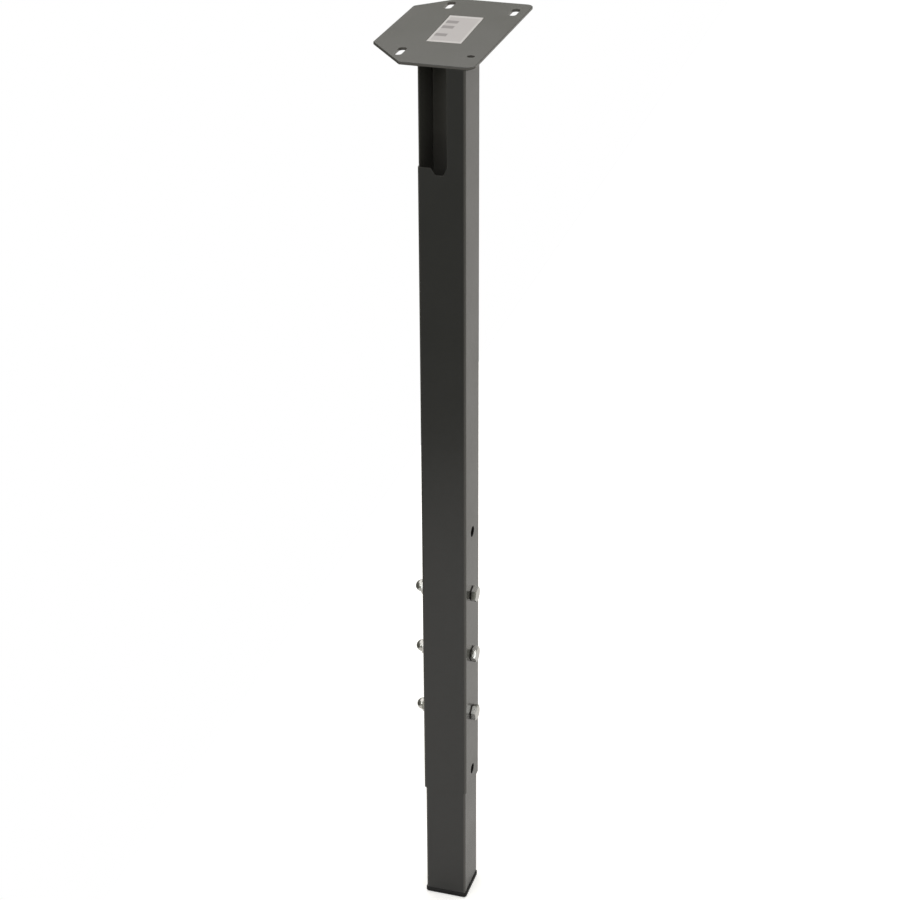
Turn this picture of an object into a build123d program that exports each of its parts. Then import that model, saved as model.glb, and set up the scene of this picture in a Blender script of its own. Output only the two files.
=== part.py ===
from build123d import *
import math
import os

os.makedirs("parts", exist_ok=True)

# An adjustable furniture leg: a flat plate that screws up under a top, a square tube
# welded below it, and a slimmer square tube that slides inside and is clamped by three
# bolts with cap nuts. Millimetres, +Z up. The origin is on the mounting face, over
# the middle of the tube. X runs back along the plate and Y runs to its cut-off side.

# Outer tube
tube_side = 50.0
tube_wall = 1.2
tube_corner = 2.5
outer_reach = 858.0  # from the mounting face down to the outer tube's open end

# Mounting plate
plate_length = 224.0
plate_width = 121.0
plate_thick = 3.0
plate_side_lap = 8.0  # how far the plate passes the tube on the bolt heads' side
front_cut_along = 55.0
front_cut_across = 45.0
back_cut = 38.0
bend_corner = 6.0
near_corner = 10.0
far_corner = 8.0
edge_break = 0.5

# Fixing holes in the plate
slot_width = 8.5
slot_length = 25.0
fixing_hole = 8.0
left_row_margin = 36.0  # from the plate's edges to the middles of the two slots along its left side
left_row_front_margin = 33.0
left_row_back_margin = 26.0
right_row_margin = 13.0  # the same for the round hole and the slot along its right side
right_row_front_margin = 35.5
right_row_back_margin = 32.0

# Weld between plate and tube
weld_leg = 3.0
weld_toe = 0.1  # thickness that the bead still has at its lower edge

# Window at the top of the outer tube's front face
window_width = 31.0
window_height = 110.5
window_depth = 5.0
window_step_width = 14.0
window_step_height = 7.0
window_step_run = 4.5
window_corner_width = 4.2
window_corner_height = 9.0

# Adjusting holes and clamping bolts
hole_count = 5
hole_pitch = 78.0
hole_clearance = 1.0  # around a bolt in the outer tube's holes
hole_end_margin = 19.0  # from the outer tube's open end to the lowest hole
bolt_size = 10.0
bolt_reach = 10.0  # how far a shank stands out on the nut's side
bolt_tip_chamfer = 1.2
head_across = 16.0
head_height = 6.4
head_flat_size = 15.2  # the round flat that is left on a chamfered head
head_washer_face = 0.5
head_washer_size = 14.6
corner_slope = 30.0  # of the chamfer on the hexagons' corners, in degrees
head_turns = (17.0, 2.0, 41.0)  # how far each head happens to be turned, in degrees

# Cap nuts
nut_across = 16.0
nut_hex_height = 7.5
nut_flat_size = 14.4
nut_dome_size = 13.2
nut_collar = 1.0  # straight part between the hexagon and the dome
nut_dome_height = 6.4
nut_dome_bands = 3  # turned bands that make up the dome
nut_end_room = 0.6  # left between a shank's tip and the bottom of the nut's bore
thread_gap = 0.05
nut_turns = (8.0, 25.0, 50.0)

# Inner tube
slide_gap = 0.3
inner_wall = 1.2
inner_corner = 2.5
inner_head = 50.0  # tube above the long slots' upper centres
leg_height = 1008.0  # from the mounting face to the floor, as set in the photograph
slide_slot_clearance = 0.5  # around a bolt in the inner tube's long slots

# Foot cap
cap_flange = 6.0
cap_lap = 1.0
cap_corner = 3.5
cap_edge = 1.5
cap_rim_edge = 0.5
cap_plug_height = 22.0
cap_plug_wall = 2.2
cap_fin_reach = 0.9
cap_fin_height = 1.6
cap_fin_count = 3
cap_fin_pitch = 6.8
cap_first_fin = 4.8
cap_press_gap = 0.02

# Cutting and limits
cut_past = 2.0  # how far a cutter runs past the face that it cuts
least_corner = 0.2  # smallest rounding left inside a tube

# Places that follow from the sizes above
half_tube = tube_side / 2
tube_cavity = tube_side - 2 * tube_wall
tube_cavity_corner = max(tube_corner - tube_wall, least_corner)
tube_top = -plate_thick
tube_end = -outer_reach
inner_side = tube_cavity - 2 * slide_gap
inner_cavity = inner_side - 2 * inner_wall
inner_cavity_corner = max(inner_corner - inner_wall, least_corner)
plate_front = -half_tube
plate_back = plate_front + plate_length
plate_right = -half_tube - plate_side_lap
plate_left = plate_right + plate_width
hole_heights = [tube_end + hole_end_margin + hole_pitch * i for i in range(hole_count)]
bolt_heights = hole_heights[-2:0:-1]  # every hole but the two end ones, from above
foot_level = -leg_height
inner_end = foot_level + cap_flange
inner_top = hole_heights[-1] + inner_head
left_row = plate_left - left_row_margin
left_row_front = plate_front + left_row_front_margin
left_row_back = plate_back - left_row_back_margin
right_row = plate_right + right_row_margin
right_row_front = plate_front + right_row_front_margin
right_row_back = plate_back - right_row_back_margin
rise_of_slope = math.tan(math.radians(corner_slope))


def save(builder, name):
    builder.part.label = name
    export_step(builder.part, f"parts/{name}.step")


# Mounting plate: a rectangle with its two left corners cut off
with BuildPart() as mounting_plate:
    with BuildSketch(Plane.XY) as plate_outline:
        with BuildLine():
            Polyline(
                (plate_front, plate_right),
                (plate_back, plate_right),
                (plate_back, plate_left - back_cut),
                (plate_back - back_cut, plate_left),
                (plate_front + front_cut_along, plate_left),
                (plate_front, plate_left - front_cut_across),
                close=True,
            )
        make_face()
        right_side = plate_outline.vertices().group_by(Axis.Y)[0]
        fillet(right_side.sort_by(Axis.X)[0], near_corner)
        right_side = plate_outline.vertices().group_by(Axis.Y)[0]
        fillet(right_side.sort_by(Axis.X)[-1], far_corner)
        fillet(plate_outline.vertices().group_by(Axis.Y)[-1], bend_corner)
    extrude(amount=-plate_thick)
    chamfer(mounting_plate.faces().filter_by(Axis.Z).edges(), edge_break)
    # three slots, and one round hole over the tube
    with BuildSketch(Plane.XY):
        with Locations((left_row_front, left_row), (left_row_back, left_row), (right_row_back, right_row)):
            SlotOverall(slot_length, slot_width)
        with Locations((right_row_front, right_row)):
            Circle(fixing_hole / 2)
    extrude(amount=-plate_thick, mode=Mode.SUBTRACT)
save(mounting_plate, "mounting_plate")

# Outer tube: thin square tube with five pairs of holes and a stepped window
front_face = Plane(origin=(-half_tube, 0, 0), x_dir=(0, -1, 0), z_dir=(-1, 0, 0))
window_left = -half_tube
window_right = window_left + window_width
window_foot = tube_top - window_height
window_shelf = window_foot + window_step_height
with BuildPart() as outer_tube:
    with BuildSketch(Plane.XY.offset(tube_top)):
        RectangleRounded(tube_side, tube_side, tube_corner)
        RectangleRounded(tube_cavity, tube_cavity, tube_cavity_corner, mode=Mode.SUBTRACT)
    extrude(amount=tube_end - tube_top)
    with BuildSketch(Plane.XZ):
        with Locations(*[(0, height) for height in hole_heights]):
            Circle(bolt_size / 2 + hole_clearance)
    extrude(amount=tube_side, both=True, mode=Mode.SUBTRACT)
    with BuildSketch(front_face):
        with BuildLine():
            Polyline(
                (window_left - cut_past, tube_top + cut_past),
                (window_left - cut_past, window_shelf),
                (window_left + window_step_width, window_shelf),
                (window_left + window_step_width + window_step_run, window_foot),
                (window_right - window_corner_width, window_foot),
                (window_right, window_foot + window_corner_height),
                (window_right, tube_top + cut_past),
                close=True,
            )
        make_face()
    extrude(amount=-window_depth, mode=Mode.SUBTRACT)
save(outer_tube, "outer_tube")

# Weld bead: a fillet under the plate on the three faces that the plate overlaps
bead_side = tube_side + 2 * weld_leg
bead_slope = math.degrees(math.atan2(weld_leg - weld_toe, weld_leg))
with BuildPart() as weld_bead:
    with BuildSketch(Plane.XY.offset(tube_top)):
        RectangleRounded(bead_side, bead_side, tube_corner + weld_leg)
    extrude(amount=-weld_leg, taper=bead_slope)
    with BuildSketch(Plane.XY.offset(tube_top)):
        RectangleRounded(tube_side, tube_side, tube_corner)
    extrude(amount=-weld_leg, mode=Mode.SUBTRACT)
    # nothing along the plate's front edge, or beside the window
    with BuildSketch(Plane.XY.offset(tube_top)):
        with Locations((-half_tube + window_depth, 0)):
            Rectangle(tube_side, 2 * tube_side, align=(Align.MAX, Align.CENTER))
    extrude(amount=-weld_leg, mode=Mode.SUBTRACT)
save(weld_bead, "weld_bead")

# Inner tube: slides in the outer one, with one long slot in each side wall for the bolts
slot_span = hole_heights[-1] - hole_heights[0]
slot_middle = (hole_heights[-1] + hole_heights[0]) / 2
with BuildPart() as inner_tube:
    with BuildSketch(Plane.XY.offset(inner_end)):
        RectangleRounded(inner_side, inner_side, inner_corner)
        RectangleRounded(inner_cavity, inner_cavity, inner_cavity_corner, mode=Mode.SUBTRACT)
    extrude(amount=inner_top - inner_end)
    with BuildSketch(Plane.XZ):
        with Locations((0, slot_middle)):
            SlotCenterToCenter(slot_span, bolt_size + 2 * slide_slot_clearance, rotation=90)
    extrude(amount=tube_side, both=True, mode=Mode.SUBTRACT)
save(inner_tube, "inner_tube")

# Foot cap: a moulded plug with a flange to stand on and thin fins that grip the tube
flange_side = inner_side + 2 * cap_lap
plug_side = inner_cavity - 2 * cap_fin_reach
fin_side = inner_cavity - 2 * cap_press_gap
pocket_side = (plug_side - 3 * cap_plug_wall) / 2
with BuildPart() as foot_cap:
    with BuildSketch(Plane.XY.offset(foot_level)):
        RectangleRounded(flange_side, flange_side, cap_corner)
    extrude(amount=cap_flange)
    chamfer(foot_cap.edges().group_by(Axis.Z)[0], cap_edge)
    chamfer(foot_cap.edges().group_by(Axis.Z)[-1], cap_rim_edge)
    with BuildSketch(Plane.XY.offset(inner_end)):
        RectangleRounded(plug_side, plug_side, inner_cavity_corner)
    extrude(amount=cap_plug_height)
    for i in range(cap_fin_count):
        fin_level = inner_end + cap_first_fin + cap_fin_pitch * i
        with BuildSketch(Plane.XY.offset(fin_level)):
            RectangleRounded(fin_side, fin_side, inner_cavity_corner)
        with BuildSketch(Plane.XY.offset(fin_level + cap_fin_height)):
            RectangleRounded(plug_side, plug_side, inner_cavity_corner)
        loft()
    # open from above, with a cross of ribs inside
    with BuildSketch(Plane.XY.offset(inner_end)):
        with GridLocations(pocket_side + cap_plug_wall, pocket_side + cap_plug_wall, 2, 2):
            Rectangle(pocket_side, pocket_side)
    extrude(amount=cap_plug_height, mode=Mode.SUBTRACT)
save(foot_cap, "foot_cap")

# Hexagon bolts: head on the right face of the outer tube, shank through both tubes
head_corner = head_across / math.sqrt(3)
head_drop = (head_corner - head_flat_size / 2) * rise_of_slope
for number, (height, turn) in enumerate(zip(bolt_heights, head_turns), 1):
    right_seat = Plane(origin=(0, -half_tube, height), x_dir=(1, 0, 0), z_dir=(0, -1, 0))
    head_section = Plane(origin=(0, -half_tube, height), x_dir=(1, 0, 0), z_dir=(0, 0, 1))
    with BuildPart() as bolt:
        with BuildSketch(right_seat.offset(head_washer_face)):
            RegularPolygon(head_across / 2, 6, major_radius=False, rotation=turn)
        extrude(amount=head_height - head_washer_face)
        # the corners are turned off to a round flat
        with BuildSketch(head_section):
            with BuildLine():
                Polyline(
                    (0, -head_washer_face),
                    (head_corner, -head_washer_face),
                    (head_corner, -head_height + head_drop),
                    (head_flat_size / 2, -head_height),
                    (0, -head_height),
                    close=True,
                )
            make_face()
        revolve(axis=Axis((0, -half_tube, height), (0, 1, 0)), mode=Mode.INTERSECT)
        with BuildSketch(right_seat):
            Circle(head_washer_size / 2)
        extrude(amount=head_washer_face)
        with BuildSketch(right_seat):
            Circle(bolt_size / 2)
        extrude(amount=-tube_side - bolt_reach)
        chamfer(bolt.edges().group_by(Axis.Y)[-1], bolt_tip_chamfer)
    save(bolt, f"bolt_{number}")

# Cap nuts: hexagon against the left face of the outer tube, closed by a dome
nut_corner = nut_across / math.sqrt(3)
nut_drop = (nut_corner - nut_flat_size / 2) * rise_of_slope
dome_radius = nut_dome_size / 2
dome_level = nut_hex_height + nut_collar
nut_height = dome_level + nut_dome_height
dome_steps = [math.radians(90 * i / nut_dome_bands) for i in range(nut_dome_bands)]
dome_profile = [(dome_radius * math.cos(a), dome_level + nut_dome_height * math.sin(a)) for a in dome_steps]
for number, (height, turn) in enumerate(zip(bolt_heights, nut_turns), 1):
    left_seat = Plane(origin=(0, half_tube, height), x_dir=(1, 0, 0), z_dir=(0, 1, 0))
    nut_section = Plane(origin=(0, half_tube, height), x_dir=(1, 0, 0), z_dir=(0, 0, 1))
    with BuildPart() as cap_nut:
        with BuildSketch(left_seat):
            RegularPolygon(nut_across / 2, 6, major_radius=False, rotation=turn)
        extrude(amount=nut_height)
        # the outer corners are turned off, and the dome stands on the round flat that is left
        with BuildSketch(nut_section):
            with BuildLine():
                Polyline(
                    (0, 0),
                    (nut_corner, 0),
                    (nut_corner, nut_hex_height - nut_drop),
                    (nut_flat_size / 2, nut_hex_height),
                    (dome_radius, nut_hex_height),
                    *dome_profile,
                    (0, nut_height),
                    close=True,
                )
            make_face()
        revolve(axis=Axis((0, half_tube, height), (0, 1, 0)), mode=Mode.INTERSECT)
        with BuildSketch(left_seat):
            Circle(bolt_size / 2 + thread_gap)
        extrude(amount=bolt_reach + nut_end_room, mode=Mode.SUBTRACT)
    save(cap_nut, f"cap_nut_{number}")
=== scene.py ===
# %% [markdown]
# # An adjustable bench leg in powder-coated steel
#
# The leg is a square steel tube with a mounting plate on top and a slimmer tube that
# slides out of its lower end. The steel shapes are ready: they come from the CAD model
# as fixed nodes, in metres, with the origin on the plate's top face over the middle of
# the tube. What is left to do here is how it looks: powder coat, zinc, moulded plastic
# and paper, a weld that shows its ripples, and a soft studio.
#
# Loading the frame is always the first step, because every piece below is placed by it.

# %% Load the frame
import math

import bpy
from mathutils import Matrix, Vector


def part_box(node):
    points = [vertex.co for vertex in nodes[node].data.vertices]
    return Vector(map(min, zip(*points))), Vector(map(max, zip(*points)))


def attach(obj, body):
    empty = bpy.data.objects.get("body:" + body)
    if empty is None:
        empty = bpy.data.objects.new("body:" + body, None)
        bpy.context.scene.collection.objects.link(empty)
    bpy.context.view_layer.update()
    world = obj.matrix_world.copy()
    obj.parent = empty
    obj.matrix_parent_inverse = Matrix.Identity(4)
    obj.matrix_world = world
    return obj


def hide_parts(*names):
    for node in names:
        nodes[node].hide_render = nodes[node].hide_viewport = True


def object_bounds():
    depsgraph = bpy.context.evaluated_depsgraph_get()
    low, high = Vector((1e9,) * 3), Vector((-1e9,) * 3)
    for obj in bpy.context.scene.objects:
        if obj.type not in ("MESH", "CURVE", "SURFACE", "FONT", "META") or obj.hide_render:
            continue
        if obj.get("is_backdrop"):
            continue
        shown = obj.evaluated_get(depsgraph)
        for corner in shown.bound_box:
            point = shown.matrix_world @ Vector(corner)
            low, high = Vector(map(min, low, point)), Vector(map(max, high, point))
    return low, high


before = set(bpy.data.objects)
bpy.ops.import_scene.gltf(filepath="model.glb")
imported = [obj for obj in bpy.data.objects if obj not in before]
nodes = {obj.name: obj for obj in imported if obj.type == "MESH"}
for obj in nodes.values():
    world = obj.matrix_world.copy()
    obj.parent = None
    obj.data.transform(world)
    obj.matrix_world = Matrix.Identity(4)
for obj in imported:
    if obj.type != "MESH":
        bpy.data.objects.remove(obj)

cad_low, cad_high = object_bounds()
print("nodes:", sorted(nodes))
print("box of the CAD model in mm:", [round(1000 * c) for c in (*cad_low, *cad_high)])

# %% [markdown]
# ## The camera
#
# The picture looks down on the leg by about 27 degrees, and a little from the bolt heads'
# side. A long lens keeps the two tubes' edges nearly parallel. The place and the lens
# were worked out from the corners of the plate and the tube, so they are plain numbers.
# The camera's axes are built by hand from the way it looks, which is easier to read than
# three Euler angles, and leaves room for the picture's very slight tilt.

# %% Camera
CAMERA_PLACE = Vector((-2.0179, -0.6280, 0.6675))
CAMERA_HEADING = 17.287  # degrees from the X axis, towards +Y
CAMERA_PITCH = 27.475  # degrees below the horizon
CAMERA_TILT = 0.256  # degrees that the horizon falls to the right
CAMERA_LENS = 89.45  # mm
CAMERA_SENSOR = 36  # mm across
CAMERA_SIGHT = 100  # m to the furthest thing it draws

heading = math.radians(CAMERA_HEADING)
pitch = math.radians(CAMERA_PITCH)
tilt = math.radians(CAMERA_TILT)
level = Vector((math.cos(heading), math.sin(heading), 0))
forward = level * math.cos(pitch) + Vector((0, 0, -math.sin(pitch)))
straight_right = forward.cross(Vector((0, 0, 1))).normalized()
straight_down = forward.cross(straight_right)
right = straight_right * math.cos(tilt) + straight_down * math.sin(tilt)
down = straight_down * math.cos(tilt) - straight_right * math.sin(tilt)

camera_data = bpy.data.cameras.new("camera")
camera_data.sensor_width = CAMERA_SENSOR
camera_data.lens = CAMERA_LENS
camera_data.clip_end = CAMERA_SIGHT
camera = bpy.data.objects.new("camera", camera_data)
axes = Matrix((right, -down, -forward)).transposed().to_4x4()
camera.matrix_world = Matrix.Translation(CAMERA_PLACE) @ axes
bpy.context.scene.collection.objects.link(camera)
bpy.context.scene.camera = camera
print("camera at", tuple(round(c, 3) for c in CAMERA_PLACE))
print("looking", tuple(round(c, 3) for c in forward))

# %% [markdown]
# ## Colours and nodes
#
# Colours are easiest to pick as the hex numbers of a paint chart, which are sRGB.
# Shaders work in linear light, so one function turns the first into the second.
# Materials are small graphs of nodes. One more function adds a node, and takes for each
# of its inputs either a value or the socket that feeds it, so each material below reads
# as a list.
#
# A Mix node keeps one set of sockets for numbers, one for vectors and one for colours,
# all with the same names. The colour ones are therefore told by their numbers.

# %% Colour and node helpers
COLOUR_A, COLOUR_B, COLOUR_OUT = 6, 7, 2  # a Mix node's two colour inputs and its output


def linear(hex_colour):
    """An sRGB hex colour, such as "#2b2c2e", as the four linear numbers that shaders use."""
    parts = [int(hex_colour[i : i + 2], 16) / 255 for i in (1, 3, 5)]
    return (*(p / 12.92 if p <= 0.04045 else ((p + 0.055) / 1.055) ** 2.4 for p in parts), 1)


def add(material, kind, inputs=None, **settings):
    """Adds a node. Each input, by name or number, gets a value or the socket that feeds it."""
    node = material.node_tree.nodes.new(kind)
    for name, value in settings.items():
        setattr(node, name, value)
    for name, value in (inputs or {}).items():
        if isinstance(value, bpy.types.NodeSocket):
            material.node_tree.links.new(value, node.inputs[name])
        else:
            node.inputs[name].default_value = value
    return node


def new_material(name):
    """An empty node material, and the socket with the object's own coordinates in metres."""
    material = bpy.data.materials.new(name)
    material.use_nodes = True
    material.node_tree.nodes.clear()
    return material, add(material, "ShaderNodeTexCoord").outputs["Object"]


def per_metre(size_mm):
    """The texture scale whose features are this many millimetres apart, on a part in metres."""
    return 1000 / size_mm


print("graphite in linear light:", [round(c, 4) for c in linear("#242424")[:3]])

# %% [markdown]
# ## The floor and the light
#
# A dark glossy paint shows little colour of its own. Most of what the eye gets from it
# is reflection, so the studio matters more than the paint. The leg stands on white paper
# that is lit evenly by one very large soft box, above and behind. That box is also what
# the plate mirrors, because the plate is seen at a low angle.
#
# The tube's front face mirrors the floor before it: near the foot the white paper, and
# higher up whatever lies further out. In the picture that face gets darker upwards, so the
# paper ends about a metre in front of the leg, and beyond it the studio is dim. It ends on
# the left too, because the nuts' domes have dark outlines there.
#
# Paper and background are plain white in the picture. So a little light is added to the
# paper for the camera's own rays, which leaves the rest of the studio as it is. Further
# from the leg more is added, because the soft box fades there and the paper's edges would
# show. Near the foot it stays low enough to keep the soft shadow.

# %% Floor
FLOOR_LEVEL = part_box("foot_cap")[0].z
FLOOR_FRONT = -1.05  # m, where the paper ends in front of the leg
FLOOR_LEFT = 0.38  # m, where it ends on the cap nuts' side
FLOOR_REACH = 15.0  # m to its other edges, far past the camera's view
BURN_OUT = 0.40  # light added to the paper at the foot, as the camera sees it
FAR_BURN_OUT = 1.0  # and far from the leg
BURN_FROM, BURN_TO = 0.5, 2.5  # m from the leg where it rises from one to the other

floor_mesh = bpy.data.meshes.new("floor")
floor_corners = [
    (FLOOR_FRONT, -FLOOR_REACH, 0),
    (FLOOR_REACH, -FLOOR_REACH, 0),
    (FLOOR_REACH, FLOOR_LEFT, 0),
    (FLOOR_FRONT, FLOOR_LEFT, 0),
]
floor_mesh.from_pydata(floor_corners, [], [(0, 1, 2, 3)])
floor = bpy.data.objects.new("floor", floor_mesh)
floor.location.z = FLOOR_LEVEL
bpy.context.scene.collection.objects.link(floor)
floor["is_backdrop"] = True

floor_paper, place = new_material("white_studio_paper")
seen = add(floor_paper, "ShaderNodeLightPath").outputs["Is Camera Ray"]
away = add(floor_paper, "ShaderNodeVectorMath", {0: place}, operation="LENGTH")
added = add(
    floor_paper,
    "ShaderNodeMapRange",
    {
        "Value": away.outputs["Value"],
        "From Min": BURN_FROM,
        "From Max": BURN_TO,
        "To Min": BURN_OUT,
        "To Max": FAR_BURN_OUT,
    },
)
seen_light = {0: seen, 1: added.outputs[0]}
burned_out = add(floor_paper, "ShaderNodeMath", seen_light, operation="MULTIPLY")
shader = add(
    floor_paper,
    "ShaderNodeBsdfPrincipled",
    {
        "Base Color": linear("#e6e5e5"),
        "Roughness": 0.9,
        "Emission Color": (1, 1, 1, 1),
        "Emission Strength": burned_out.outputs[0],
    },
)
add(floor_paper, "ShaderNodeOutputMaterial", {"Surface": shader.outputs[0]})
floor_mesh.materials.append(floor_paper)
print("floor at", round(1000 * FLOOR_LEVEL), "mm")

# %% [markdown]
# The world is seen in two ways. A ray straight from the camera that misses the paper gets
# plain white, so that paper and background run together. Every other ray gets the dim
# studio: grey above the horizon, darker below it where the paper has ended, and darker
# still on the cap nuts' side. Its walls are a slightly warm grey, which the paint mirrors.

# %% World
ABOVE_HORIZON = 0.45
BELOW_HORIZON = 0.30
HORIZON_BLUR = 0.05
LEFT_SHADE = 0.35  # the share of that light which is left on the cap nuts' side
SHADE_FROM, SHADE_TO = 0.45, 0.70  # part of a direction along Y where the shade sets in
WHITE = (1.0, 1.0, 1.0, 1.0)
WALL_TINT = (1.0, 1.0, 0.86, 1.0)

world = bpy.data.worlds.new("dim_studio")
world.use_nodes = True
world.node_tree.nodes.clear()
way = add(world, "ShaderNodeTexCoord").outputs["Generated"]
rise_and_side = add(world, "ShaderNodeSeparateXYZ", {"Vector": way}).outputs
studio = add(
    world,
    "ShaderNodeMapRange",
    {
        "Value": rise_and_side["Z"],
        "From Min": -HORIZON_BLUR,
        "From Max": HORIZON_BLUR,
        "To Min": BELOW_HORIZON,
        "To Max": ABOVE_HORIZON,
    },
)
shade = add(
    world,
    "ShaderNodeMapRange",
    {
        "Value": rise_and_side["Y"],
        "From Min": SHADE_FROM,
        "From Max": SHADE_TO,
        "To Min": 1.0,
        "To Max": LEFT_SHADE,
    },
)
parts = {0: studio.outputs[0], 1: shade.outputs[0]}
dim = add(world, "ShaderNodeMath", parts, operation="MULTIPLY")
seen = add(world, "ShaderNodeLightPath").outputs["Is Camera Ray"]
strength = add(world, "ShaderNodeMix", {"Factor": seen, "A": dim.outputs[0], "B": 1.0})
wall_or_white = {"Factor": seen, COLOUR_A: WALL_TINT, COLOUR_B: WHITE}
tint = add(world, "ShaderNodeMix", wall_or_white, data_type="RGBA")
light = {"Color": tint.outputs[COLOUR_OUT], "Strength": strength.outputs[0]}
background = add(world, "ShaderNodeBackground", light)
add(world, "ShaderNodeOutputWorld", {"Surface": background.outputs[0]})
bpy.context.scene.world = world
bpy.context.scene.view_settings.view_transform = "Standard"
print("studio light:", ABOVE_HORIZON, "above the horizon and", BELOW_HORIZON, "below it")

# %% [markdown]
# Three soft boxes make the light. The large one hangs over the leg and far behind it. A
# smaller one in front lights the paper that the front face mirrors. The last is the key
# light, a small box high on the left: it gives the nuts' domes a highlight, and lights the
# flat of the middle bolt head that happens to face it. The large one is a little warm, so
# the plate and the side that mirror it come out as a slightly brown grey.

# %% Soft boxes
WARM = (1.0, 0.962, 0.96)
NEUTRAL = (1.0, 1.0, 1.0)


def soft_box(name, place, target, sides, power, colour):
    """An area lamp that faces the target and isn't seen itself, with sides in m and power in W."""
    data = bpy.data.lights.new(name, "AREA")
    data.shape = "RECTANGLE"
    data.size, data.size_y = sides
    data.energy = power
    data.color = colour
    lamp = bpy.data.objects.new(name, data)
    lamp.location = place
    lamp.rotation_mode = "QUATERNION"
    lamp.rotation_quaternion = (Vector(place) - Vector(target)).to_track_quat("Z", "Y")
    lamp.visible_camera = False
    bpy.context.scene.collection.objects.link(lamp)


soft_box("soft_box_above", (3.1, 0.6, 2.7), (3.1, 0.6, 0), (8.2, 7.0), 208, WARM)
soft_box("soft_box_front", (-1.3, 0.0, 0.9), (-0.9, 0.0, -1.0), (1.6, 1.6), 14, NEUTRAL)
soft_box("soft_box_key", (-2.6, 0.75, 0.7), (0, 0, -0.65), (0.8, 0.8), 8, NEUTRAL)

# %% [markdown]
# ## Powder coat
#
# The plate, the tubes and the weld are one welded steel piece and its slide, sprayed with
# dry powder and baked. The coat is a thick smooth polymer: dark graphite, with a satin
# gloss and the faint dimples that painters call orange peel. It reflects like any plastic
# with an IOR of about 1.5. Its colour hardly varies, but dust and handling leave a slight
# unevenness in the gloss.
#
# The paint is lighter in four places, and each gets a mask. On the first two this is a
# painted highlight, where light catches a rounded corner or edge; on the other two the
# coat is thin:
#
# - The tubes' upright corners, where the surface faces between two sides.
# - Sharp edges near the top. They show where a bevel node's rounded normal differs from
#   the true one.
# - The inside of the outer tube, which the spray hardly reaches. The mask ends halfway
#   through the tube's wall, so that it can't show outside.
# - The plate's cut rim, which is told by its upright faces.

# %% Masks for the painted highlights and the thin coat
CORNER_GAIN = 2.0  # X times Y of a normal is a half where it points between two sides
EDGE_MM = 0.8  # width of the painted highlight along an edge
LIKE_AT_RIM, LIKE_IN_MIDDLE = 0.99, 0.85  # how alike the two normals are across it
EDGE_SHARE = 0.5  # how strong the painted highlight gets there, from 0 for not at all to 1
EDGE_HIGHLIGHT_FROM = -0.4  # m, the height at which the painted edge highlight starts
EDGE_HIGHLIGHT_FULL = -0.2  # m, the height above which it is at full strength
RIM_LEAN = 0.5  # a face counts as upright while its normal rises or falls by less
TUBE_WALL = 0.0012  # m
HAIR = 0.00005  # m, which keeps a mask clear of the face where it ends

tube_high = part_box("outer_tube")[1]
plate_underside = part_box("mounting_plate")[0].z
inner_tube_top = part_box("inner_tube")[1].z
wall_middle = tube_high.x - TUBE_WALL / 2
CAVITY = {
    "X": (-wall_middle, wall_middle),
    "Y": (-wall_middle, wall_middle),
    "Z": (inner_tube_top + HAIR, plate_underside - HAIR),
}


def tube_corners(material, normal):
    """Mask for the painted highlight where light catches the rounded upright corners: 1 there, and
    0 on flat sides.
    """
    facing = add(material, "ShaderNodeSeparateXYZ", {"Vector": normal}).outputs
    sides = {0: facing["X"], 1: facing["Y"]}
    both = add(material, "ShaderNodeMath", sides, operation="MULTIPLY")
    between = add(material, "ShaderNodeMath", {0: both.outputs[0]}, operation="ABSOLUTE")
    gain = {"Value": between.outputs[0], "To Max": CORNER_GAIN}
    return add(material, "ShaderNodeMapRange", gain).outputs[0]


def edge_highlight_mask(material, normal, height):
    """Painted highlight mask: up to EDGE_SHARE along sharp edges near the top of the leg, where
    light catches them, and 0 elsewhere.
    """
    rounded = add(material, "ShaderNodeBevel", {"Radius": EDGE_MM / 1000}, samples=4).outputs[0]
    alike = add(material, "ShaderNodeVectorMath", {0: rounded, 1: normal}, operation="DOT_PRODUCT")
    edge = add(
        material,
        "ShaderNodeMapRange",
        {
            "Value": alike.outputs["Value"],
            "From Min": LIKE_AT_RIM,
            "From Max": LIKE_IN_MIDDLE,
            "To Max": EDGE_SHARE,
        },
    )
    top = {"Value": height, "From Min": EDGE_HIGHLIGHT_FROM, "From Max": EDGE_HIGHLIGHT_FULL}
    high_up = add(material, "ShaderNodeMapRange", top)
    parts = {0: edge.outputs[0], 1: high_up.outputs[0]}
    both = add(material, "ShaderNodeMath", parts, operation="MULTIPLY")
    return both.outputs[0]


def tube_cavity(material, place):
    """1 inside the outer tube, above the inner one, and 0 elsewhere."""
    mask = 1.0
    for axis, (low, high) in CAVITY.items():
        span = {0: place[axis], 1: (low + high) / 2, 2: (high - low) / 2}
        within = add(material, "ShaderNodeMath", span, operation="COMPARE")
        parts = {0: mask, 1: within.outputs[0]}
        mask = add(material, "ShaderNodeMath", parts, operation="MULTIPLY").outputs[0]
    return mask


def plate_rim(material, normal, height):
    """1 on the plate's upright faces, and 0 elsewhere."""
    facing = add(material, "ShaderNodeSeparateXYZ", {"Vector": normal}).outputs["Z"]
    level = {0: facing, 1: 0.0, 2: RIM_LEAN}
    upright = add(material, "ShaderNodeMath", level, operation="COMPARE")
    above = {0: height, 1: plate_underside - HAIR}
    on_plate = add(material, "ShaderNodeMath", above, operation="GREATER_THAN")
    parts = {0: upright.outputs[0], 1: on_plate.outputs[0]}
    both = add(material, "ShaderNodeMath", parts, operation="MULTIPLY")
    return both.outputs[0]


for axis, (low, high) in CAVITY.items():
    print("thin coat inside the tube along", axis, "from", round(low, 4), "to", round(high, 4))

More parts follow.
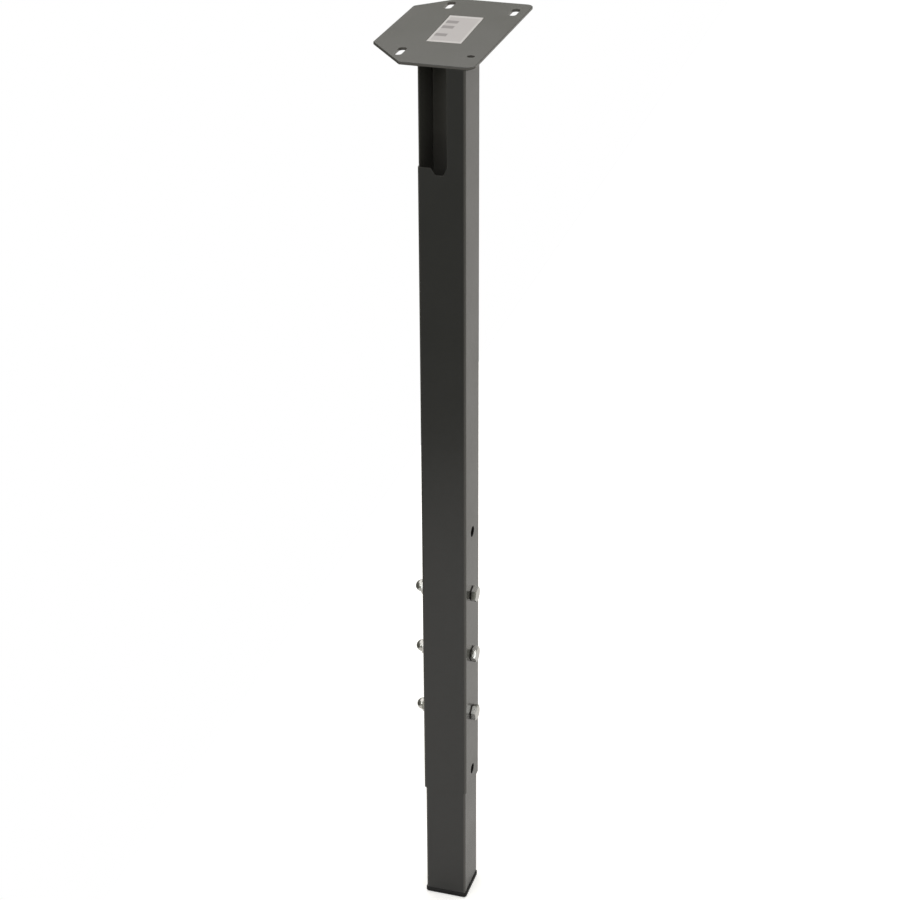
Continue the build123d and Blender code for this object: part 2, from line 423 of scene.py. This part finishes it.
# %% Graphite powder coat
CLOUD_MM = 60  # from one patch of slightly different gloss to the next
PEEL_MM = 2.2  # from one dimple of the orange peel to the next
GRAIN_MM = 0.5  # fine grain of the powder, drawn coarser than life so that it shows
PATCH_FROM, PATCH_TO = 0.3, 0.7  # range of the noise that makes the patches
PATCH_GLOSS = 0.03  # roughness that a patch adds or takes off
PATCH_SHADE = 1.25  # how much lighter the paint is in the palest patch
# Painted highlight: this lighter colour on the rounded corners stands in for the light they catch.
CORNER_HIGHLIGHT_COLOUR = "#4b4a48"
# Painted highlight: this lighter colour along the sharp edges near the top stands in for the light
# they catch.
EDGE_HIGHLIGHT_COLOUR = "#5c5c5b"
THIN_IN_TUBE = "#484744"
THIN_ON_RIM = "#52504e"


def powder_coat(name, colour, roughness):
    """Smooth dark powder coat on steel, lighter where it is thin, with painted highlights on the
    corners and top edges.
    """
    material, place = new_material(name)
    cloud = add(
        material,
        "ShaderNodeTexNoise",
        {"Vector": place, "Scale": per_metre(CLOUD_MM), "Detail": 3.0},
    )
    peel = add(
        material,
        "ShaderNodeTexNoise",
        {"Vector": place, "Scale": per_metre(PEEL_MM), "Detail": 1.0},
    )
    grain = add(
        material,
        "ShaderNodeTexNoise",
        {"Vector": place, "Scale": per_metre(GRAIN_MM), "Detail": 2.0},
    )
    full = linear(colour)
    faded = [PATCH_SHADE * c for c in full[:3]] + [1]
    two_shades = {"Factor": cloud.outputs["Fac"], COLOUR_A: full, COLOUR_B: faded}
    coat = add(material, "ShaderNodeMix", two_shades, data_type="RGBA")

    normal = add(material, "ShaderNodeNewGeometry").outputs["Normal"]
    spread = add(material, "ShaderNodeSeparateXYZ", {"Vector": place}).outputs
    # Painted highlights on the corners and the top edges first, then the thin coat inside the tube
    # and on the rim.
    thin_coat_and_highlights = (
        (tube_corners(material, normal), CORNER_HIGHLIGHT_COLOUR),
        (edge_highlight_mask(material, normal, spread["Z"]), EDGE_HIGHLIGHT_COLOUR),
        (tube_cavity(material, spread), THIN_IN_TUBE),
        (plate_rim(material, normal, spread["Z"]), THIN_ON_RIM),
    )
    for mask, lighter_colour in thin_coat_and_highlights:
        coat_or_lighter = {
            "Factor": mask,
            COLOUR_A: coat.outputs[COLOUR_OUT],
            COLOUR_B: linear(lighter_colour),
        }
        coat = add(material, "ShaderNodeMix", coat_or_lighter, data_type="RGBA")

    gloss = add(
        material,
        "ShaderNodeMapRange",
        {
            "Value": cloud.outputs["Fac"],
            "From Min": PATCH_FROM,
            "From Max": PATCH_TO,
            "To Min": roughness - PATCH_GLOSS,
            "To Max": roughness + PATCH_GLOSS,
        },
    )
    dimples = add(
        material,
        "ShaderNodeBump",
        {"Height": peel.outputs["Fac"], "Strength": 0.08, "Distance": 0.0001},
    )
    skin = add(
        material,
        "ShaderNodeBump",
        {
            "Height": grain.outputs["Fac"],
            "Normal": dimples.outputs[0],
            "Strength": 0.06,
            "Distance": 0.00005,
        },
    )
    shader = add(
        material,
        "ShaderNodeBsdfPrincipled",
        {
            "Base Color": coat.outputs[COLOUR_OUT],
            "Roughness": gloss.outputs[0],
            "Normal": skin.outputs[0],
            "IOR": 1.5,
        },
    )
    add(material, "ShaderNodeOutputMaterial", {"Surface": shader.outputs[0]})
    return material


graphite = powder_coat("graphite_powder_coat", "#242424", 0.235)
for name in ("mounting_plate", "outer_tube", "weld_bead", "inner_tube"):
    nodes[name].data.materials.clear()
    nodes[name].data.materials.append(graphite)
print("powder coat on", [n for n in nodes if nodes[n].data.materials[0] == graphite])

# %% [markdown]
# ## Zinc-plated bolts and cap nuts
#
# The bolts and nuts are cold-forged steel with a bright zinc plating a few thousandths of
# a millimetre thick. Zinc is a metal, so it colours what it reflects, and it gets its
# whole look from it. The forged surface is finely uneven, which breaks the reflections
# up, and the plating has a slight cloudiness from cool to warm. Where a head or a nut
# lies on the tube, a dark ring is painted into the zinc: painted shadow, for the shade in
# the gap under it. The ring could be painted by hand, but the distance from the tube's side
# face gives it to all six pieces at once.

# %% Bright zinc plating
PATCH_MM = 6  # from a cool patch to a warm one
FORGE_MM = 1.6  # the soft unevenness that forging leaves
CRYSTAL_MM = 0.25  # zinc's own grain, drawn coarser than life so that it shows
RING_START = 0.0008  # m above the tube's face where the painted shadow ring begins to fade
RING_END = 0.0014  # m above it where it has gone
# The ring colour is painted shadow, for the shade in the gap under each head and nut.
COOL_ZINC, WARM_ZINC, PAINTED_SHADOW_RING_COLOUR = "#b6b9bc", "#c8c5be", "#484541"
SMOOTHEST, ROUGHEST = 0.16, 0.30  # roughness of the plating


def zinc_plating(name):
    """Bright zinc on forged steel, with a painted shadow ring where it meets the tube."""
    material, place = new_material(name)
    cloud = add(
        material,
        "ShaderNodeTexNoise",
        {"Vector": place, "Scale": per_metre(PATCH_MM), "Detail": 2.0},
    )
    forged = add(
        material,
        "ShaderNodeTexNoise",
        {"Vector": place, "Scale": per_metre(FORGE_MM), "Detail": 2.0},
    )
    crystal = add(
        material,
        "ShaderNodeTexNoise",
        {"Vector": place, "Scale": per_metre(CRYSTAL_MM), "Detail": 1.0},
    )
    cool_to_warm = {
        "Factor": cloud.outputs["Fac"],
        COLOUR_A: linear(COOL_ZINC),
        COLOUR_B: linear(WARM_ZINC),
    }
    zinc = add(material, "ShaderNodeMix", cool_to_warm, data_type="RGBA")
    sideways = add(material, "ShaderNodeSeparateXYZ", {"Vector": place}).outputs["Y"]
    away = add(material, "ShaderNodeMath", {0: sideways}, operation="ABSOLUTE").outputs[0]
    # Painted shadow: the zinc turns dark near the tube's face, where the gap under a head or nut
    # is in shade.
    past_shadow_ring = add(
        material,
        "ShaderNodeMapRange",
        {
            "Value": away,
            "From Min": tube_high.y + RING_START,
            "From Max": tube_high.y + RING_END,
        },
    )
    shadow_ring_to_zinc = {
        "Factor": past_shadow_ring.outputs[0],
        COLOUR_A: linear(PAINTED_SHADOW_RING_COLOUR),
        COLOUR_B: zinc.outputs[COLOUR_OUT],
    }
    colour = add(material, "ShaderNodeMix", shadow_ring_to_zinc, data_type="RGBA")
    gloss = add(
        material,
        "ShaderNodeMapRange",
        {"Value": crystal.outputs["Fac"], "To Min": SMOOTHEST, "To Max": ROUGHEST},
    )
    uneven = add(
        material,
        "ShaderNodeBump",
        {"Height": forged.outputs["Fac"], "Strength": 0.25, "Distance": 0.0002},
    )
    shader = add(
        material,
        "ShaderNodeBsdfPrincipled",
        {
            "Base Color": colour.outputs[COLOUR_OUT],
            "Roughness": gloss.outputs[0],
            "Normal": uneven.outputs[0],
            "Metallic": 1.0,
        },
    )
    add(material, "ShaderNodeOutputMaterial", {"Surface": shader.outputs[0]})
    return material


zinc = zinc_plating("bright_zinc_plating")
bolt_names = sorted(n for n in nodes if n.startswith("bolt_"))
for name in bolt_names:
    nodes[name].data.materials.clear()
    nodes[name].data.materials.append(zinc)
print("zinc on", bolt_names)

# %% [markdown]
# ## Cap nuts with a smooth dome
#
# A cap nut is a hexagon whose outer corners are turned off, and a dome on top. On
# the real nut a hexagon bar and a turned form cut each other, and the surface is
# whichever lies further in. A grid in polar coordinates can say just that: each ring's
# radius is the smaller of the turned profile and the hexagon. It gives clean chamfer
# curves with no boolean, and the dome can have as many rings as it needs to be smooth.

# %% The shape of a cap nut
ACROSS = 0.016  # m across the hexagon's flats, and so on in metres
HEXAGON = 0.0075  # height of the hexagon
COLLAR = 0.0085  # where the dome starts
DOME = 0.0064  # height of the dome
DOME_RADIUS = 0.0066  # at its foot
DOME_FILLET = 0.0002  # at the foot of the dome
ROUND_FLAT = 0.0072  # radius of the flat that is left inside the turned corners
CORNER_SLOPE = math.tan(math.radians(30))
STEP = 3  # degrees from one point of a ring to the next
CHAMFER_RINGS = 6
DOME_RINGS = 12
NUT_CREASE = 25  # degrees between two faces from which their edge is sharp


def hexagon_radius(angle):
    """How far the hexagon's outline is from its middle, at an angle in degrees from a corner."""
    from_flat = (angle % 60) - 30
    return ACROSS / 2 / math.cos(math.radians(from_flat))


def nut_profile():
    """(distance from the seat, radius) of each ring, from the seat to the top of the dome."""
    corner = ACROSS / math.sqrt(3)
    rings = [(0.0, corner)]
    for i in range(CHAMFER_RINGS + 1):
        radius = corner + (ROUND_FLAT - corner) * i / CHAMFER_RINGS
        rings.append((HEXAGON - (radius - ROUND_FLAT) * CORNER_SLOPE, radius))
    rings.append((HEXAGON + DOME_FILLET, DOME_RADIUS))
    for i in range(DOME_RINGS):
        lean = math.radians(90 * i / DOME_RINGS)
        rings.append((COLLAR + DOME * math.sin(lean), DOME_RADIUS * math.cos(lean)))
    return rings


def cap_nut(name, seat, turn):
    """A cap nut on the tube's left face: rings about its axis, closed by one point at the top."""
    count = 360 // STEP
    profile = nut_profile()
    points, faces = [], []
    for rise, radius in profile:
        for k in range(count):
            reach = min(radius, hexagon_radius(STEP * k))
            angle = math.radians(STEP * k + turn)
            points.append(seat + Vector((reach * math.cos(angle), rise, -reach * math.sin(angle))))
    points.append(seat + Vector((0, COLLAR + DOME, 0)))
    for ring in range(len(profile) - 1):
        for k in range(count):
            a, b = ring * count + k, ring * count + (k + 1) % count
            faces.append((a, b, b + count, a + count))
    last = (len(profile) - 1) * count
    faces += [(last + k, last + (k + 1) % count, len(points) - 1) for k in range(count)]
    faces.append(tuple(reversed(range(count))))
    mesh = bpy.data.meshes.new(name)
    mesh.from_pydata(points, [], faces)
    mesh.shade_smooth()
    mesh.set_sharp_from_angle(angle=math.radians(NUT_CREASE))
    nut = bpy.data.objects.new(name, mesh)
    bpy.context.scene.collection.objects.link(nut)
    return nut


print("a nut's profile, rise and radius in mm:")
print([(round(1000 * rise, 1), round(1000 * radius, 1)) for rise, radius in nut_profile()])

# %% [markdown]
# Each nut came to rest at its own angle when it was tightened, so each gets its own turn.
# The new nut then takes the CAD nut's place and moves with the outer tube.

# %% Place the cap nuts
NUT_TURNS = {"cap_nut_1": 8, "cap_nut_2": 25, "cap_nut_3": 50}  # degrees

for name, turn in NUT_TURNS.items():
    low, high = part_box(name)
    seat = Vector(((low.x + high.x) / 2, low.y, (low.z + high.z) / 2))
    nut = cap_nut(name + "_domed", seat, turn)
    nut.data.materials.append(zinc)
    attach(nut, "upper")
    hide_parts(name)
    print(nut.name, "with", len(nut.data.polygons), "faces")

# %% [markdown]
# ## The weld
#
# The plate is welded to the tube on three sides with one run of bead. Each time the
# welder's torch moves on, the pool sets in a new curved ripple, so a bead looks like
# overlapping coins. It is a sweep: a small rounded triangle, in the corner between plate
# and tube, is carried along the joint, and grows and shrinks a little at every ripple.
# A curve with a round profile would be quicker to set up, but here every section can have
# a size of its own. Built from points it stays light, and the ripples are real geometry,
# with the same powder coat over them.

# %% The joint that the weld follows
STATION = 0.0004  # m from one section of the sweep to the next
TUBE_CORNER = 0.0025  # m, the radius of the tube's corners

bead_low, bead_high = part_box("weld_bead")


def joint_line():
    """Points along the tube's outline under the plate, each with the direction away from it."""
    x, y, r = tube_high.x, tube_high.y, TUBE_CORNER
    along_side = int((x - r - bead_low.x) / STATION)
    along_back = int(2 * (y - r) / STATION)
    round_corner = int(math.pi / 2 * r / STATION)
    line = [
        (Vector((bead_low.x + i * STATION, -y, 0)), Vector((0, -1, 0)))
        for i in range(along_side)
    ]
    for i in range(round_corner):
        angle = -math.pi / 2 + math.pi / 2 * i / round_corner
        out = Vector((math.cos(angle), math.sin(angle), 0))
        line.append((Vector((x - r, -y + r, 0)) + out * r, out))
    line += [
        (Vector((x, -y + r + i * STATION, 0)), Vector((1, 0, 0)))
        for i in range(along_back)
    ]
    for i in range(round_corner):
        angle = math.pi / 2 * i / round_corner
        out = Vector((math.cos(angle), math.sin(angle), 0))
        line.append((Vector((x - r, y - r, 0)) + out * r, out))
    line += [
        (Vector((x - r - i * STATION, y, 0)), Vector((0, 1, 0)))
        for i in range(along_side + 1)
    ]
    return line


line = joint_line()
print("the weld's line has", len(line), "stations")

# %% Weld bead
BEAD_LEG = 0.0030  # m that the bead reaches along the plate and down the tube
RIPPLE = 0.0024  # m from one ripple to the next
RIPPLE_DEPTH = 0.16  # share of the bead that a ripple takes off
TAPER = 0.003  # m over which the bead thins at each end
END_SIZE = 0.55  # size of the bead at its very ends
BULGE = 0.45  # how round the bead's face is, from 0 for flat to 1 for a quarter circle
ARC_POINTS = 6
WELD_CREASE = 50  # degrees between two faces from which their edge is sharp


def weld_mesh(line):
    """The bead as a closed sweep along the line."""
    points, faces = [], []
    travelled = 0.0
    for i, (spot, out) in enumerate(line):
        if i:
            travelled += (spot - line[i - 1][0]).length
        ripple = 1 - RIPPLE_DEPTH * (1 - math.sqrt(1 - travelled / RIPPLE % 1.0))
        from_end = min(travelled, (len(line) - 1 - i) * STATION, TAPER) / TAPER
        leg = BEAD_LEG * ripple * (END_SIZE + (1 - END_SIZE) * math.sqrt(from_end))
        points.append(spot + Vector((0, 0, bead_high.z)))
        for k in range(ARC_POINTS):
            angle = math.pi / 2 * k / (ARC_POINTS - 1)
            flat = 1 / (math.cos(angle) + math.sin(angle))
            reach = leg * ((1 - BULGE) * flat + BULGE)
            fall = Vector((0, 0, bead_high.z - reach * math.sin(angle)))
            points.append(spot + out * reach * math.cos(angle) + fall)
    size = ARC_POINTS + 1
    for i in range(len(line) - 1):
        for k in range(size):
            a, b = i * size + k, i * size + (k + 1) % size
            faces.append((a, a + size, b + size, b))
    faces.append(tuple(range(size)))
    faces.append(tuple(reversed(range(len(points) - size, len(points)))))
    mesh = bpy.data.meshes.new("weld_ripples")
    mesh.from_pydata(points, [], faces)
    mesh.shade_smooth()
    mesh.set_sharp_from_angle(angle=math.radians(WELD_CREASE))
    mesh.materials.append(graphite)
    return mesh


weld = bpy.data.objects.new("weld_ripples", weld_mesh(line))
bpy.context.scene.collection.objects.link(weld)
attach(weld, "upper")
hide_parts("weld_bead")
print("weld with", len(weld.data.polygons), "faces")

# %% [markdown]
# ## Moulded plastic
#
# The foot cap is injection-moulded polyethylene: tough, slightly waxy and deep black. The
# mould is spark-eroded, which leaves a fine even grain all over, and the floor rubs the
# lower edge a little paler. Noise in the object's own coordinates makes both patterns. It
# needs no unwrapping and has no seam at the corners, as a flat picture would.

# %% Black polyethylene
MOULD_GRAIN_MM = 0.6  # the mould's grain, drawn coarser than life so that it shows
SCUFF_MM = 5  # from one scuff to the next
RUBBED = 0.003  # m of the lower edge that the floor rubs
BLACK_PLASTIC, RUBBED_PLASTIC = "#0d0d0d", "#2b2a29"


def moulded_plastic(name):
    """Black polyethylene from a grained mould, rubbed where it stands."""
    material, place = new_material(name)
    grain = add(
        material,
        "ShaderNodeTexNoise",
        {"Vector": place, "Scale": per_metre(MOULD_GRAIN_MM), "Detail": 2.0},
    )
    scuffs = add(
        material,
        "ShaderNodeTexNoise",
        {"Vector": place, "Scale": per_metre(SCUFF_MM), "Detail": 4.0},
    )
    height = add(material, "ShaderNodeSeparateXYZ", {"Vector": place}).outputs["Z"]
    low_down = add(
        material,
        "ShaderNodeMapRange",
        {"Value": height, "From Min": FLOOR_LEVEL + RUBBED, "From Max": FLOOR_LEVEL},
    )
    parts = {0: low_down.outputs[0], 1: scuffs.outputs["Fac"]}
    rubbed = add(material, "ShaderNodeMath", parts, operation="MULTIPLY")
    black_to_pale = {
        "Factor": rubbed.outputs[0],
        COLOUR_A: linear(BLACK_PLASTIC),
        COLOUR_B: linear(RUBBED_PLASTIC),
    }
    colour = add(material, "ShaderNodeMix", black_to_pale, data_type="RGBA")
    bump = add(
        material,
        "ShaderNodeBump",
        {"Height": grain.outputs["Fac"], "Strength": 0.35, "Distance": 0.0001},
    )
    shader = add(
        material,
        "ShaderNodeBsdfPrincipled",
        {
            "Base Color": colour.outputs[COLOUR_OUT],
            "Normal": bump.outputs[0],
            "Roughness": 0.55,
            "Specular IOR Level": 0.3,
        },
    )
    add(material, "ShaderNodeOutputMaterial", {"Surface": shader.outputs[0]})
    return material


nodes["foot_cap"].data.materials.clear()
nodes["foot_cap"].data.materials.append(moulded_plastic("black_polyethylene"))
print("plastic on foot_cap")

# %% [markdown]
# ## The paper label
#
# A self-adhesive paper label lies on the plate, stuck a little crooked. Here it shows
# plain bars on one large grey block where a label has its print, with no words. The sheet
# is a grid of faces, because one short edge lifts by a hair, and a modifier gives it the
# paper's thickness. Its own coordinates start at its middle, so the print is laid out in
# millimetres. The print could be a picture, but a few comparisons of coordinates draw
# rectangles that stay sharp at any distance.

# %% Label sheet
LABEL_LONG = 0.0905  # m, as all lengths of the label are
LABEL_WIDE = 0.0358
LABEL_THICK = 0.00012
LABEL_MIDDLE = (0.092, 0.0209)  # on the plate, along X and Y
LABEL_TURN = 2.0  # degrees
LIFT = 0.0003  # m that the loose short edge stands up
LIFT_START = 0.036  # m from the label's middle to where it comes loose
COLUMNS, ROWS = 48, 20

sheet_points, sheet_faces = [], []
for i in range(COLUMNS + 1):
    for j in range(ROWS + 1):
        x = LABEL_LONG * (i / COLUMNS - 0.5)
        y = LABEL_WIDE * (j / ROWS - 0.5)
        curl = max(0.0, (x - LIFT_START) / (LABEL_LONG / 2 - LIFT_START)) ** 2
        sheet_points.append((x, y, LABEL_THICK + LIFT * curl))
for i in range(COLUMNS):
    for j in range(ROWS):
        a = i * (ROWS + 1) + j
        sheet_faces.append((a, a + ROWS + 1, a + ROWS + 2, a + 1))
label_mesh = bpy.data.meshes.new("paper_label")
label_mesh.from_pydata(sheet_points, [], sheet_faces)
label = bpy.data.objects.new("paper_label", label_mesh)
thickness = label.modifiers.new("paper thickness", "SOLIDIFY")
thickness.thickness = LABEL_THICK
thickness.offset = -1
label.location = (*LABEL_MIDDLE, 0)
label.rotation_euler = (0, 0, math.radians(LABEL_TURN))
bpy.context.scene.collection.objects.link(label)
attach(label, "upper")
print("label with", len(label_mesh.polygons), "faces")

# %% Label paper and its plain print
FIBRE_MM = 0.8  # from one tuft of fibres to the next, coarser than life so that it shows
DARK_FIBRE, LIGHT_FIBRE = "#b0aeae", "#b8b6b6"
BLOCK = ((0, 0), (80, 31), "#a6a3a4")  # middle and size in mm, and colour
BARS = [((along, 9.5), (9.5, 12.5), "#848182") for along in (24, 6, -21)]


def printed_area(material, place, middle, size):
    """1 inside a rectangle of the label and 0 outside it, from its middle and size in mm."""
    mask = 1.0
    for axis, centre, width in zip("XY", middle, size):
        span = {0: place[axis], 1: centre / 1000, 2: width / 2000}
        within = add(material, "ShaderNodeMath", span, operation="COMPARE")
        parts = {0: mask, 1: within.outputs[0]}
        mask = add(material, "ShaderNodeMath", parts, operation="MULTIPLY").outputs[0]
    return mask


paper, place = new_material("thermal_paper")
spread = add(paper, "ShaderNodeSeparateXYZ", {"Vector": place}).outputs
fibres = add(
    paper,
    "ShaderNodeTexNoise",
    {"Vector": place, "Scale": per_metre(FIBRE_MM), "Detail": 4.0},
).outputs["Fac"]
dark_to_light = {
    "Factor": fibres,
    COLOUR_A: linear(DARK_FIBRE),
    COLOUR_B: linear(LIGHT_FIBRE),
}
tone = add(paper, "ShaderNodeMix", dark_to_light, data_type="RGBA")
for middle, size, ink in (BLOCK, *BARS):
    mask = printed_area(paper, spread, middle, size)
    bare_to_ink = {"Factor": mask, COLOUR_A: tone.outputs[COLOUR_OUT], COLOUR_B: linear(ink)}
    tone = add(paper, "ShaderNodeMix", bare_to_ink, data_type="RGBA")
felt = add(paper, "ShaderNodeBump", {"Height": fibres, "Strength": 0.1, "Distance": 0.00005})
shader = add(
    paper,
    "ShaderNodeBsdfPrincipled",
    {
        "Base Color": tone.outputs[COLOUR_OUT],
        "Normal": felt.outputs[0],
        "Roughness": 0.7,
        "IOR": 1.45,
    },
)
add(paper, "ShaderNodeOutputMaterial", {"Surface": shader.outputs[0]})
label_mesh.materials.append(paper)
print("label print:", len(BARS), "bars and one block")

# %% [markdown]
# ## Check the size and finish
#
# The looks never change the leg's size, so the last line prints how far the finished
# model's box has grown from the CAD model's.

# %% Sizes and finish
model_low, model_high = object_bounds()
before, after = (*cad_low, *cad_high), (*model_low, *model_high)
print("grown by, in mm:", [round(1000 * (b - a), 2) for a, b in zip(before, after)])
